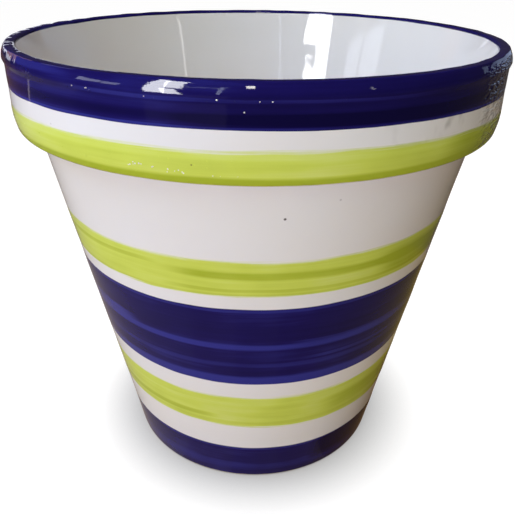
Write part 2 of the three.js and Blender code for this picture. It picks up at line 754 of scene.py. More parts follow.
    def waver(self, run: np.ndarray, turn: np.ndarray) -> np.ndarray:
        """How far the painted edges stray from true.

        Args:
            run: distances along the wall.
            turn: angles round the pot.

        Returns:
            The shift for each angle and each distance.
        """
        total = np.zeros((len(turn), len(run)))
        for place, band in enumerate(self.bands()):
            for side, edge in enumerate((band.start, band.end)):
                seed = self.EDGE_SEED + 2 * place + side
                stray = Ripple(self.edge_waver, *self.EDGE_WAVES, seed).at(turn)
                near = np.exp(-(((run - edge.run) / self.waver_reach) ** 2))
                total += np.multiply.outer(stray - edge.sway(turn), near)
        return total


@dataclass(frozen=True)
class Speck:
    """A fleck of dirt that was fired into the glaze.

    Attributes:
        direction: where it is, in degrees to the right of the front.
        height: its height above the ground.
        radius: its radius.
        weight: how much of the glaze's colour it hides.
    """

    direction: float
    height: float
    radius: float
    weight: float


@dataclass(frozen=True)
class Wash:
    """A brushed colour.

    Attributes:
        pigment: its pigment.
        tones: its colour where it is thin, even and thick.
        broad: how much it varies from brushful to brushful.
        fine: how much the brush's hairs show in it.
        patch: how much it varies from place to place.
        ragged: how ragged its edges are, in millimetres.
    """

    pigment: Pigment
    tones: tuple[RGB, ...]
    broad: float
    fine: float
    patch: float
    ragged: float


@dataclass(frozen=True)
class Grain:
    """Noise that is laid over the wall and closes on itself round the pot.

    Attributes:
        waves: how many features fit in the pot's radius.
        pitch: the distance along the wall from feature to feature.
        detail: how many finer layers it has.
    """

    waves: float
    pitch: float
    detail: float = 2.0


@dataclass(frozen=True)
class Sector:
    """A part of the way round the pot.

    Attributes:
        middle: the direction of its middle, in degrees to the right of the front.
        reach: how far it goes to each side of that, in degrees.
        soft: how far it fades to each side of its ends, in degrees.
    """

    middle: float
    reach: float
    soft: float


class WallMap:
    """Where the points that a shader colours lie on the wall.

    Attributes:
        shader: the shader.
        section: the wall's section.
        run: the distance along the section.
        place: the place in the scene.
        facing: the level direction from the pot's axis.
        LIP_FACE: how far below the rim the lip's outer face is.
        HEEL_STEP: how far past the crease the collar starts to count, and counts in full.
        LIP_STEP: how far before the lip's face it stops counting, and still counts in full.
    """

    LIP_FACE = 1.0
    HEEL_STEP = (2.0, 8.0)
    LIP_STEP = (0.0, 1.5)

    def __init__(self, shader: Shader, section: WallSection) -> None:
        """Reads the distance along the wall from the mesh, and the direction from the place.

        Args:
            shader: the shader that colours the points.
            section: the wall's section.
        """
        self.shader = shader
        self.section = section
        self.run = shader.node("ShaderNodeAttribute", {"attribute_name": RUN}, {}, "Fac")
        self.place = shader.node("ShaderNodeTexCoord", {}, {}, "Object")
        level = shader.vector("MULTIPLY", self.place, (1.0, 1.0, 0.0))
        self.facing = shader.vector("NORMALIZE", level)

    def grained(self, grain: Grain, run: Socket) -> Socket:
        """Lays a grain over the wall.

        Args:
            grain: the grain.
            run: the distance along the wall.

        Returns:
            The grain's noise, round 0.
        """
        along = self.shader.node("ShaderNodeCombineXYZ", {}, {"Z": run * (1.0 / grain.pitch)})
        around = self.shader.vector("MULTIPLY", self.facing, (grain.waves,) * 3)
        return self.shader.noise(self.shader.vector("ADD", around, along), 1.0, grain.detail)

    def within(self, sector: Sector) -> Socket:
        """Picks out a part of the way round.

        Args:
            sector: that part.

        Returns:
            1 in it and 0 outside it.
        """
        outer = math.cos(math.radians(sector.reach + sector.soft))
        inner = math.cos(math.radians(max(sector.reach - sector.soft, 0)))
        turned = self.shader.vector("DOT_PRODUCT", self.facing, direction(sector.middle))
        return turned.eased(outer, inner)

    def below_rim(self, drop: float) -> float:
        """The distance along the wall of a point outside, some way below the rim."""
        return self.section.run_at(self.section.height - drop)

    def on_collar(self) -> Socket:
        """1 on the collar and the lip's outside, and 0 elsewhere."""
        risen = (self.run - self.section.run_at(self.section.crease)).eased(*self.HEEL_STEP)
        return risen * (self.below_rim(self.LIP_FACE) - self.run).eased(*self.LIP_STEP)


@dataclass(frozen=True)
class PaintedGlaze:
    """Glossy white glaze over the bands of brushed colour.

    Attributes:
        white: its white.
        warm_white: its white where it is warmer.
        warmth: how many warmer patches there are in a metre.
        washes: the brushed colours.
        gloss: its specular level.
        roughness: its roughness, how much that varies and how often in a metre.
        wander: how the brush strayed along the wall, and how far.
        brushfuls: the streaks of a brushful of paint.
        hairs: the streaks of the brush's hairs.
        patches: where the paint lies thicker.
        fray: how many features the ragged edges have in a metre.
        painted_shade_patches: painted shade in grey patches on the collar's right: its colour,
            place and spread.
        dirt: the colour of the specks.
        specks: the specks in the glaze.
        waves: the slow waves' features in a metre, and their depth.
        line_depth: the depth of the brush lines.
        peel: the orange peel's features in a metre, and its depth.
        pitted: where the glaze is pitted, how the pits are spread, and their depth.
        runs: where the glaze ran on the lip, the runs' features in a metre and their depth.
        run_reach: how far from the lip's face the runs go, and where they start to fade.
        TONE_PLACES: the loads of paint that show a wash's three tones.
        EVEN_LOAD: the load of paint where nothing varies it.
        EDGE_FRAY: how far the hairs' streaks shift a band's edge, as a multiple of its fade.
        RING_CORE: a ring has its full weight as far as its width divided by this.
        STROKE_CORE: a stroke has its full weight as far as its width divided by this.
        STROKE_FADE: how far a stroke fades to each side of its ends, in degrees.
        SPECK_STEP: where a speck starts and where it is darkest, as multiples of its radius.
        WARMER_STEP: the noise at which the white starts to be warmer, and is warmest.
        SHADE_PATCH_STEP: the noise at which the painted shade starts to show, and shows in full.
    """

    white: RGB = (0.780, 0.780, 0.770)
    warm_white: RGB = (0.775, 0.757, 0.732)
    warmth: float = 14.0
    washes: tuple[Wash, ...] = (
        Wash(
            Pigment.CHARTREUSE,
            ((0.730, 0.800, 0.310), (0.590, 0.682, 0.105), (0.385, 0.470, 0.034)),
            broad=0.33,
            fine=0.15,
            patch=0.50,
            ragged=0.45,
        ),
        Wash(
            Pigment.COBALT,
            ((0.028, 0.030, 0.230), (0.009, 0.006, 0.084), (0.003, 0.002, 0.034)),
            broad=0.34,
            fine=0.20,
            patch=0.40,
            ragged=0.12,
        ),
    )
    gloss: float = 0.22
    roughness: tuple[float, float, float] = (0.035, 0.02, 30.0)
    wander: tuple[Grain, float] = (Grain(1.2, 60.0), 5.0)
    brushfuls: Grain = Grain(1.6, 5.0, 3.0)
    hairs: Grain = Grain(3.2, 1.1, 3.0)
    patches: Grain = Grain(3.0, 22.0)
    fray: float = 260.0
    painted_shade_patches: tuple[RGB, Sector, Grain] = (
        (0.44, 0.43, 0.41),
        Sector(46.0, 22.0, 4.0),
        Grain(11.0, 16.0),
    )
    dirt: RGB = (0.045, 0.030, 0.028)
    specks: tuple[Speck, ...] = (
        Speck(6.1, 200.0, 0.75, 0.9),
        Speck(17.5, 208.1, 0.6, 0.3),
        Speck(-10.8, 229.3, 0.45, 0.6),
        Speck(-41.1, 236.9, 0.6, 0.35),
    )
    waves: tuple[float, float] = (45.0, 0.06)
    line_depth: float = 0.03
    peel: tuple[float, float] = (480.0, 0.010)
    pitted: tuple[Sector, Grain, float] = (Sector(80.0, 31.0, 4.0), Grain(27.0, 1.4, 1.0), 1.5)
    runs: tuple[Sector, float, float] = (Sector(-76.0, 30.7, 10.7), 150.0, 0.40)
    run_reach: tuple[float, float] = (9.0, 6.0)

    TONE_PLACES = (0.05, 0.5, 0.95)
    EVEN_LOAD = 0.5
    EDGE_FRAY = 1.6
    RING_CORE = 8
    STROKE_CORE = 6
    STROKE_FADE = 6.0
    SPECK_STEP = (1.2, 0.5)
    WARMER_STEP = (-0.2, 0.25)
    SHADE_PATCH_STEP = (0.02, 0.24)

    def material(self, work: Brushwork) -> bpy.types.Material:
        """Builds the glaze for a piece of brushwork.

        Args:
            work: the bands and strokes that the glaze shows.

        Returns:
            The material, which reads the distance along the wall from the mesh.
        """
        shader = Shader.of_material("painted_glaze")
        wall = WallMap(shader, work.section)
        stray, distance = self.wander
        swept = wall.run + distance * wall.grained(stray, wall.run)
        broad = wall.grained(self.brushfuls, swept)
        fine = wall.grained(self.hairs, swept)
        patch = wall.grained(self.patches, wall.run)
        frayed = fine + shader.noise(wall.place, self.fray)
        colour = self.white_with_painted_shade(wall)
        painted = None
        for wash in self.washes:
            cover = self.coverage(wash.pigment, work, wall.run + wash.ragged * frayed, fine)
            load = self.EVEN_LOAD + wash.broad * broad + wash.fine * fine + wash.patch * patch
            load = load + self.strokes(wash.pigment, work, wall, swept)
            stops = list(zip(self.TONE_PLACES, wash.tones))
            tone = shader.node("ShaderNodeValToRGB", {"stops": stops}, {"Fac": load}, "Color")
            colour = shader.blend(cover, colour, tone)
            painted = cover if painted is None else painted.at_least(cover)
        for speck in self.specks:
            colour = shader.blend(self.mark(speck, wall), colour, self.dirt)
        usual, spread, smears = self.roughness
        surface = {
            "Base Color": colour,
            "Roughness": usual + spread * shader.noise(wall.place, smears, 3.0),
            "Specular IOR Level": self.gloss,
            "Normal": self.surface(wall, fine * painted),
        }
        return shader.ends_in(shader.node("ShaderNodeBsdfPrincipled", {}, surface))

    def white_with_painted_shade(self, wall: WallMap) -> Socket:
        """The white glaze.

        Args:
            wall: where the points lie.

        Returns:
            Its colour, a little warmer in patches, with painted shade in patches on the collar's
            right.
        """
        shader = wall.shader
        patch = shader.noise(wall.place, self.warmth, 3.0).eased(*self.WARMER_STEP)
        clean = shader.blend(patch, self.white, self.warm_white)
        # Grey patches on the collar's right side: painted shade.
        colour, sector, grain = self.painted_shade_patches
        shade_patch = wall.grained(grain, wall.run).eased(*self.SHADE_PATCH_STEP)
        return shader.blend(wall.within(sector) * wall.on_collar() * shade_patch, clean, colour)

    def coverage(self, pigment: Pigment, work: Brushwork, run: Socket, fine: Socket) -> Socket:
        """How much of the white a pigment hides.

        Args:
            pigment: the pigment.
            work: the brushwork that lists the bands.
            run: the distance along the wall, frayed.
            fine: the streaks of the brush's hairs, which fray the edges more where they fade.

        Returns:
            The share of the white that is hidden, from 0 to 1.
        """
        total = None
        for band in work.bands():
            if band.pigment is not pigment:
                continue
            first, last = band.start, band.end
            inside_first = run - first.run + self.EDGE_FRAY * first.fade * fine
            inside_last = last.run - run + self.EDGE_FRAY * last.fade * fine
            cover = inside_first.eased(-first.fade / 2, first.fade / 2)
            cover = cover * inside_last.eased(-last.fade / 2, last.fade / 2)
            total = cover if total is None else total.at_least(cover)
        return total

    def strokes(
        self, pigment: Pigment, work: Brushwork, wall: WallMap, swept: Socket
    ) -> Socket:
        """The extra paint that the strokes of one pigment leave, some of it painted light and
        shade.

        Args:
            pigment: the pigment.
            work: the brushwork that lists the strokes.
            wall: where the points lie.
            swept: the distance along the wall, as the brush wandered.

        Returns:
            The extra load of paint.
        """
        total = swept * 0.0
        for ring in work.rings():
            if ring.pigment is pigment:
                core = ring.width / self.RING_CORE
                near = abs(wall.run - ring.run).eased(ring.width / 2, core)
                total = total + ring.weight * near
        for stroke in work.strokes():
            if stroke.pigment is pigment:
                core = stroke.width / self.STROKE_CORE
                near = abs(swept - stroke.run).eased(stroke.width / 2, core)
                length = wall.within(Sector(stroke.middle, stroke.reach, self.STROKE_FADE))
                total = total + stroke.weight * near * length
        return total

    def mark(self, speck: Speck, wall: WallMap) -> Socket:
        """How dark a speck makes each point.

        Args:
            speck: the speck.
            wall: where the points lie.

        Returns:
            The share of the dirt's colour.
        """
        spot = complex(wall.section.at(np.array(wall.section.run_at(speck.height))))
        centre = Vector(direction(speck.direction)) * spot.real + Vector((0, 0, spot.imag))
        away = wall.shader.vector("DISTANCE", wall.place, tuple(centre * MM))
        outer, inner = (speck.radius * MM * share for share in self.SPECK_STEP)
        return speck.weight * away.eased(outer, inner)

    def surface(self, wall: WallMap, lines: Socket) -> Socket:
        """The fine relief of the glaze: waves, brush lines, orange peel, pits and runs.

        Args:
            wall: where the points lie.
            lines: the brush lines, where there is paint.

        Returns:
            The bent normal.
        """
        shader = wall.shader
        waves, wave_depth = self.waves
        peel, peel_depth = self.peel
        pitted, pits, pit_depth = self.pitted
        ran, drops, run_depth = self.runs
        coarse = wall.grained(pits, wall.run) * wall.within(pitted) * wall.on_collar()
        on_lip = abs(wall.run - wall.below_rim(wall.LIP_FACE)).eased(*self.run_reach)
        height = wave_depth * shader.noise(wall.place, waves) + self.line_depth * lines
        height = height + peel_depth * shader.noise(wall.place, peel, 1.0) + pit_depth * coarse
        height = height + run_depth * shader.noise(wall.place, drops) * wall.within(ran) * on_lip
        inputs = {"Height": height, "Strength": 1.0, "Distance": MM}
        return shader.node("ShaderNodeBump", {}, inputs, "Normal")


@dataclass(frozen=True)
class BareClay:
    """The wiped, unglazed underside: buff earthenware with grog and turning marks.

    Attributes:
        clay: its colour.
        pale: its colour where it is paler.
        grog: the colour of the coarse grains in it.
        cloud: how many paler patches it has in a metre.
        grain: how many grains it has in a metre.
        turning: how far the phase of the turning marks goes in a metre, in radians.
        stray: how far the patches shift that phase.
        relief: the height of the turning marks, of the grains and of the patches.
        roughness: its roughness, and how much that varies.
        gloss: its specular level.
        PALER_STEP: the noise at which it starts to be paler, and is palest.
        GRAIN_STEP: the noise at which a grain starts to show, and shows in full.
    """

    clay: RGB = (0.62, 0.45, 0.30)
    pale: RGB = (0.70, 0.55, 0.40)
    grog: RGB = (0.34, 0.22, 0.14)
    cloud: float = 40.0
    grain: float = 1400.0
    turning: float = 2600.0
    stray: float = 3.0
    relief: tuple[float, float, float] = (0.06, 0.25, 0.2)
    roughness: tuple[float, float] = (0.82, 0.2)
    gloss: float = 0.3

    PALER_STEP = (-0.15, 0.2)
    GRAIN_STEP = (0.18, 0.26)

    def material(self) -> bpy.types.Material:
        """Builds the clay.

        Returns:
            The material.
        """
        shader = Shader.of_material("bare_clay")
        place = shader.node("ShaderNodeTexCoord", {}, {}, "Object")
        flat = shader.vector("MULTIPLY", place, (1.0, 1.0, 0.0))
        radius = shader.vector("DISTANCE", flat, (0.0, 0.0, 0.0))
        cloud = shader.noise(place, self.cloud, 5.0)
        grain = shader.noise(place, self.grain)
        colour = shader.blend(cloud.eased(*self.PALER_STEP), self.clay, self.pale)
        colour = shader.blend(grain.eased(*self.GRAIN_STEP), colour, self.grog)
        phase = radius * self.turning + self.stray * cloud
        turned, grained, patched = self.relief
        height = turned * phase.math("SINE", phase) + grained * grain + patched * cloud
        inputs = {"Height": height, "Strength": 1.0, "Distance": MM}
        usual, spread = self.roughness
        surface = {
            "Base Color": colour,
            "Roughness": usual + spread * cloud,
            "Specular IOR Level": self.gloss,
            "Normal": shader.node("ShaderNodeBump", {}, inputs, "Normal"),
        }
        return shader.ends_in(shader.node("ShaderNodeBsdfPrincipled", {}, surface))


@dataclass
class PotWall:
    """The turned wall, as one closed mesh with the unevenness of handwork.

    Attributes:
        section: the wall's section.
        work: the painter's work on it.
        columns: the number of vertices round the pot.
        rows: the number along the section.
        plain_step: how far apart the rows lie where the wall is plain.
        rows_per_radian: how many more rows a bend has.
        rows_per_edge_mm: how many more there are in a millimetre at a painted edge.
        edge_reach: how far those go from the edge.
        oval: how far the wall is from round at the rim.
        inset: how far the wall stands back, to leave room for its unevenness.
        to_the_right: how far the wall stands to the right.
        true_height: the height above which the wall has all of its unevenness.
        lip_lumps: how lumpy the lip is.
        lip_sink: how far the lip stands back.
        lip_reach: how far the lumps go from the lip.
        turning: the turning marks' pitch along the section and their depth.
        FINE_STEP: how far apart the section's bends are measured.
        SMOOTHED_STEPS: over how many such steps they are smoothed.
        CHART_MARGIN: how wide the free margin of the bake chart is, where the chart is 1.
        LUMPS_DROP: how far below the rim the middle of the lip's lumps is.
    """

    section: WallSection
    work: Brushwork
    columns: int = 396
    rows: int = 250
    plain_step: float = 5.0
    rows_per_radian: float = 6.5
    rows_per_edge_mm: float = 2.0
    edge_reach: float = 1.4
    oval: Ripple = Ripple(0.16, 2, 3, 7)
    inset: float = 0.18
    to_the_right: float = 0.15
    true_height: float = 20.0
    lip_lumps: Ripple = Ripple(0.10, 6, 64, 11)
    lip_sink: float = 0.20
    lip_reach: float = 9.0
    turning: tuple[tuple[float, Ripple], ...] = (
        (47.0, Ripple(0.05, 1, 8, 21)),
        (31.0, Ripple(0.04, 1, 12, 22)),
        (19.0, Ripple(0.025, 1, 16, 23)),
    )

    FINE_STEP = 0.1
    SMOOTHED_STEPS = 9
    CHART_MARGIN = 0.004
    LUMPS_DROP = 0.5

    def row_runs(self) -> np.ndarray:
        """Spreads the mesh's rows, close together at bends and painted edges.

        Returns:
            The rows' distances along the section.
        """
        fine = np.arange(0, self.section.length, self.FINE_STEP)
        heading = np.unwrap(np.angle(self.section.outward(fine)))
        bend = np.abs(np.gradient(heading, fine))
        smooth = np.ones(self.SMOOTHED_STEPS) / self.SMOOTHED_STEPS
        crowd = 1 / self.plain_step + self.rows_per_radian * np.convolve(bend, smooth, "same")
        for band in self.work.bands():
            for edge in (band.start, band.end):
                near = np.exp(-(((fine - edge.run) / self.edge_reach) ** 2))
                crowd = crowd + self.rows_per_edge_mm * near
        reached = np.concatenate([[0.0], np.cumsum(crowd)])
        wanted = np.arange(self.rows) / self.rows * reached[-1]
        return np.interp(wanted, reached, np.append(fine, self.section.length))

    def surface(self, run: np.ndarray, turn: np.ndarray) -> tuple[np.ndarray, np.ndarray]:
        """Places every vertex.

        Args:
            run: the rows' distances along the section.
            turn: the columns' angles round the pot.

        Returns:
            The radius and height of each column and row as complex millimetres, and the
            distance along the section at which the painter saw each.
        """
        marks = run + self.work.waver(run, turn)
        place = self.section.at(run)
        lip = self.section.run_at(self.section.height - self.LUMPS_DROP)
        lumps = self.work.relief(marks)
        near_lip = np.exp(-(((run - lip) / self.lip_reach) ** 2))
        lumps += np.multiply.outer(self.lip_lumps.at(turn) - self.lip_sink, near_lip)
        held = np.clip(place.imag / self.true_height, 0, 1)
        for pitch, ripple in self.turning:
            wave = np.sin(run / pitch * FULL_TURN + ripple.seed)
            lumps += np.multiply.outer(ripple.at(turn), wave * held)
        outward = self.section.outward(run)
        stray = self.oval.at(turn)[:, None] * (place.imag / self.section.height)
        stray = stray + (self.to_the_right * np.cos(turn)[:, None] - self.inset) * held
        return place + outward * lumps + stray, marks

    def build(self, glaze: bpy.types.Material, clay: bpy.types.Material) -> bpy.types.Object:
        """Builds the wall's mesh and dresses it.

        Args:
            glaze: the material of the glazed part.
            clay: the material of the wiped part.

        Returns:
            The wall.
        """
        run = self.row_runs()
        turn = np.arange(self.columns) / self.columns * FULL_TURN
        shape, marks = self.surface(run, turn)
        spokes = np.cos(turn)[:, None], np.sin(turn)[:, None]
        places = np.stack([*(shape.real * spoke for spoke in spokes), shape.imag], axis=-1)
        column, row = np.indices(shape.shape)
        columns, rows = shape.shape
        around, along = (column + 1) % columns, (row + 1) % rows
        steps = (column, row), (around, row), (around, along), (column, along)
        faces = np.stack([i * rows + j for i, j in steps], axis=-1).reshape(-1, 4)
        mesh = bpy.data.meshes.new("pot_wall")
        mesh.from_pydata((places.reshape(-1, 3) * MM).tolist(), [], faces.tolist())
        mesh.attributes.new(RUN, "FLOAT", "POINT").data.foreach_set("value", marks.ravel())
        u = np.stack([column, column + 1, column + 1, column], axis=-1) / columns
        v = np.stack([row, row, row + 1, row + 1], axis=-1) / rows
        chart = self.CHART_MARGIN + (1 - 2 * self.CHART_MARGIN) * np.stack([u, v], axis=-1)
        mesh.uv_layers.new(name="OFBake").data.foreach_set("uv", chart.ravel())
        for material in (glaze, clay):
            mesh.materials.append(material)
        coats = np.tile(self.coats(run), columns)
        mesh.polygons.foreach_set("material_index", coats)
        mesh.polygons.foreach_set("use_smooth", np.ones(len(faces), bool))
        mesh.update()
        return placed("pot_wall", mesh)

    def coats(self, run: np.ndarray) -> np.ndarray:
        """Sorts the wall's steps by what covers them.

        Args:
            run: the rows' distances along the section.

        Returns:
            The coat of the step after each row.
        """
        start = self.section.run_at(self.work.wiped_height)
        drain = self.section.recess_depth + self.section.drain_round
        end = self.section.run_at(drain, inside=True)
        glazed = (run >= start) & (run < end)
        return np.where(glazed, Coat.GLAZE.value, Coat.BARE.value).astype(np.int32)


@dataclass(frozen=True)
class BlisterPatch:
    """A patch of small bubbles in the glaze.

    Attributes:
        direction: its middle, in degrees to the right of the front.
        reach: how far it goes to each side of that, in degrees.
        height: the height of its middle.
        rise: how far it goes above and below that.
        count: how many bubbles it has.
        painted_glint: whether the beads take the white glaze's colour, which paints a glint on
            them.
    """

    direction: float
    reach: float
    height: float
    rise: float
    count: int
    painted_glint: bool = True


@dataclass
class GlazeBlisters:
    """Small bubbles that stand up in the glaze along the collar's heel and neck.

    Attributes:
        section: the wall's section.
        patches: where they are.
        radius: the smallest and the largest radius.
        flatness: how high they are for their radius.
        sunk: how far their middles lie below the glaze.
        glint_white_height: a height at which the wall is white; beads with painted glints take
            its colour.
        seed: what their places are drawn from.
    """

    section: WallSection
    patches: tuple[BlisterPatch, ...] = (
        BlisterPatch(3.5, 58.0, 227.6, 4.2, 44, painted_glint=False),
        BlisterPatch(-2.5, 47.0, 255.3, 0.7, 18, painted_glint=False),
        # From here on the beads take the white glaze's colour: painted glints.
        BlisterPatch(-20.0, 2.6, 227.4, 1.2, 9),
        BlisterPatch(-14.5, 2.6, 226.0, 0.8, 7),
        BlisterPatch(-5.6, 3.0, 225.4, 0.4, 4),
        BlisterPatch(27.0, 3.4, 225.4, 0.4, 6),
        BlisterPatch(34.0, 3.6, 225.0, 0.7, 12),
        BlisterPatch(-32.8, 0.0, 256.3, 0.0, 1),
        BlisterPatch(-28.9, 0.9, 256.3, 0.1, 2),
        BlisterPatch(-18.3, 0.0, 255.6, 0.0, 1),
        BlisterPatch(-5.5, 0.8, 255.6, 0.2, 2),
        BlisterPatch(1.2, 1.4, 255.4, 0.1, 2),
        BlisterPatch(-1.9, 0.0, 251.2, 0.0, 1),
    )
    radius: tuple[float, float] = (0.22, 0.40)
    flatness: float = 0.42
    sunk: float = 0.05
    glint_white_height: float = 200.0
    seed: int = 5

    def build(self, glaze: bpy.types.Material) -> bpy.types.Object:
        """Builds the blisters as one mesh of closed, flattened beads.

        Args:
            glaze: the glaze that covers them.

        Returns:
            The blisters.
        """
        draw = np.random.default_rng(self.seed)
        beads = bmesh.new()
        mark = beads.verts.layers.float.new(RUN)
        for patch in self.patches:
            for _ in range(patch.count):
                degrees = patch.direction + draw.uniform(-patch.reach, patch.reach)
                run = self.section.run_at(patch.height + draw.uniform(-patch.rise, patch.rise))
                size = draw.uniform(*self.radius) * MM
                shape = Matrix.Diagonal((size, size, size * self.flatness, 1))
                made = bmesh.ops.create_icosphere(
                    beads, subdivisions=2, radius=1.0, matrix=self.stance(degrees, run) @ shape
                )
                # A bead with a painted glint takes the white wall's colour.
                glint_or_own_run = self.section.run_at(self.glint_white_height) if patch.painted_glint else run
                for vertex in made["verts"]:
                    vertex[mark] = glint_or_own_run
        mesh = bpy.data.meshes.new("glaze_blisters")
        beads.to_mesh(mesh)
        beads.free()
        mesh.polygons.foreach_set("use_smooth", np.ones(len(mesh.polygons), bool))
        mesh.materials.append(glaze)
        return placed("glaze_blisters", mesh)

    def stance(self, degrees: float, run: float) -> Matrix:
        """The place on the wall of a bead, and its tilt.

        Args:
            degrees: how far it is to the right of the front.
            run: the distance along the wall.

        Returns:
            A matrix whose Z axis points out of the wall.
        """
        wall = complex(self.section.at(np.array(run)))
        out = complex(self.section.outward(np.array(run)))
        spoke = Vector(direction(degrees))
        place = (spoke * (wall.real - self.sunk) + Vector((0, 0, wall.imag))) * MM
        tilt = (spoke * out.real + Vector((0, 0, out.imag))).to_track_quat("Z", "Y")
        return Matrix.Translation(place) @ tilt.to_matrix().to_4x4()


@dataclass
class PlantPot:
    """The whole pot: its wall and the blisters in its glaze.

    Attributes:
        glaze: the finish of all but the underside.
        clay: the finish of the underside.
        paint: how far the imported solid's paint stands out of its wall.
    """

    glaze: PaintedGlaze = PaintedGlaze()
    clay: BareClay = BareClay()
    paint: float = 0.3

    def build(self) -> list[bpy.types.Object]:
        """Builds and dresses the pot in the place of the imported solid.

        Returns:
            Its pieces.
        """
        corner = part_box(NODE)[1]
        section = WallSection(corner.z / MM - self.paint, corner.x / MM - self.paint)
        work = Brushwork(section)
        glaze = self.glaze.material(work)
        wall = PotWall(section, work).build(glaze, self.clay.material())
        blisters = GlazeBlisters(section).build(glaze)
        for piece in (wall, blisters):
            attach(piece, "root")
            log.info("%s: %d faces", piece.name, len(piece.data.polygons))
        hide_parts(NODE)
        return [wall, blisters]


@dataclass(frozen=True)
class PhotographCamera:
    """The photograph's camera, found from the pot's outline and the edges of its bands.

    Attributes:
        eye: where it stands, in metres.
        down: how far it looks down, in degrees.
        right: how far it looks to the right, in degrees.
        roll: how far its right side is rolled up, in degrees.
        focal_length: its focal length, in millimetres.
        nearest: how near it starts to see, in metres.
    """

    eye: tuple[float, float, float] = (0.0, -0.36704, 0.30818)
    down: float = 27.626
    right: float = 0.2534
    roll: float = 0.5927
    focal_length: float = 41.84
    nearest: float = 0.01

    def place(self) -> None:
        """Makes the camera and gives it to the scene."""
        down, right, roll = (math.radians(a) for a in (self.down, self.right, self.roll))
        level = Vector((math.sin(right), math.cos(right), 0))
        ahead = level * math.cos(down) - Vector((0, 0, math.sin(down)))
        side = ahead.cross(Vector((0, 0, 1))).normalized()
        above = side.cross(ahead)
        across = side * math.cos(roll) + above * math.sin(roll)
        upright = above * math.cos(roll) - side * math.sin(roll)
        data = bpy.data.cameras.new("photograph_camera")
        data.lens = self.focal_length
        data.clip_start = self.nearest
        camera = placed("photograph_camera", data)
        turned = Matrix((across, upright, -ahead)).transposed().to_4x4()
        camera.matrix_world = Matrix.Translation(self.eye) @ turned
        bpy.context.scene.camera = camera


@dataclass(frozen=True)
class Lamp:
    """A rectangular lamp that faces the pot's rim.

    Attributes:
        name: its name.
        direction: degrees to the right of the front.
        elevation: degrees above the rim.
        distance: how far from the middle of the rim, in metres.
        width: its width, in degrees as seen from the rim.
        height: its height, in degrees as seen from the rim.
        radiance: how bright its face is, where 1 shows as white.
        tint: its colour.
        shows: how it shows on the pot.
        lean: how far its top leans to the left, in degrees.
        MIRRORED_DISTANCE: how far off the lamps are that only the gloss shows, in metres.
    """

    name: str
    direction: float
    elevation: float
    distance: float
    width: float
    height: float
    radiance: float
    tint: RGB
    shows: Shows = Shows.AS_LIGHT
    lean: float = 0.0

    MIRRORED_DISTANCE = 5.0

    @classmethod
    def mirrored(
        cls,
        name: str,
        facing: tuple[float, float],
        size: tuple[float, float],
        radiance: float,
        tint: RGB,
        lean: float = 0.0,
    ) -> "Lamp":
        """A lamp that only the gloss shows, so far off that the whole pot mirrors it alike.

        Args:
            name: its name.
            facing: its direction and its elevation.
            size: its width and height, in degrees.
            radiance: how bright its face is.
            tint: its colour.
            lean: how far its top leans to the left, in degrees.

        Returns:
            The lamp.
        """
        shows = Shows.IN_THE_GLOSS
        return cls(name, *facing, cls.MIRRORED_DISTANCE, *size, radiance, tint, shows, lean)

    def place(self, target: Vector) -> None:
        """Hangs the lamp.

        Args:
            target: the point that it faces.
        """
        size_x, size_y = (
            2 * self.distance * math.tan(math.radians(angle) / 2)
            for angle in (self.width, self.height)
        )
        data = bpy.data.lights.new(self.name, "AREA")
        data.shape = "RECTANGLE"
        data.size, data.size_y = size_x, size_y
        data.energy = self.radiance * size_x * size_y * math.pi
        data.color = self.tint
        lamp = placed(self.name, data)
        rise = math.radians(self.elevation)
        level = Vector(direction(self.direction)) * math.cos(rise)
        offset = (level + Vector((0, 0, math.sin(rise)))) * self.distance
        turned = offset.to_track_quat("Z", "Y").to_matrix().to_4x4()
        turned = turned @ Matrix.Rotation(math.radians(self.lean), 4, "Z")
        lamp.matrix_world = Matrix.Translation(target + offset) @ turned
        lamp.visible_glossy = self.shows is Shows.IN_THE_GLOSS
        lamp.visible_diffuse = self.shows is Shows.AS_LIGHT
        lamp.visible_camera = False


def even_tone(name: str, tone: RGB) -> bpy.types.Material:
    """A material that shows one tone whatever light falls on it."""
    shader = Shader.of_material(name)
    return shader.ends_in(shader.node("ShaderNodeEmission", {}, {"Color": (*tone, 1.0)}))


def stage_sheet(
    name: str,
    points: list[Vector],
    faces: list[Any],
    material: bpy.types.Material,
) -> bpy.types.Object:
    """Adds a sheet to the stage.

    Args:
        name: its name.
        points: its corners.
        faces: its faces, as places in the list of corners.
        material: what it is made of.

    Returns:
        The sheet.
    """
    mesh = bpy.data.meshes.new(name)
    mesh.from_pydata([tuple(point) for point in points], [], [tuple(face) for face in faces])
    mesh.materials.append(material)
    sheet = placed(name, mesh)
    return sheet


def in_the_gloss(sheet: bpy.types.Object) -> None:
    """Lets a sheet of the stage show in gloss and nowhere else.

    Args:
        sheet: the sheet.
    """
    sheet.visible_camera = False
    sheet.visible_diffuse = False
    sheet.visible_shadow = False
    sheet.visible_transmission = False


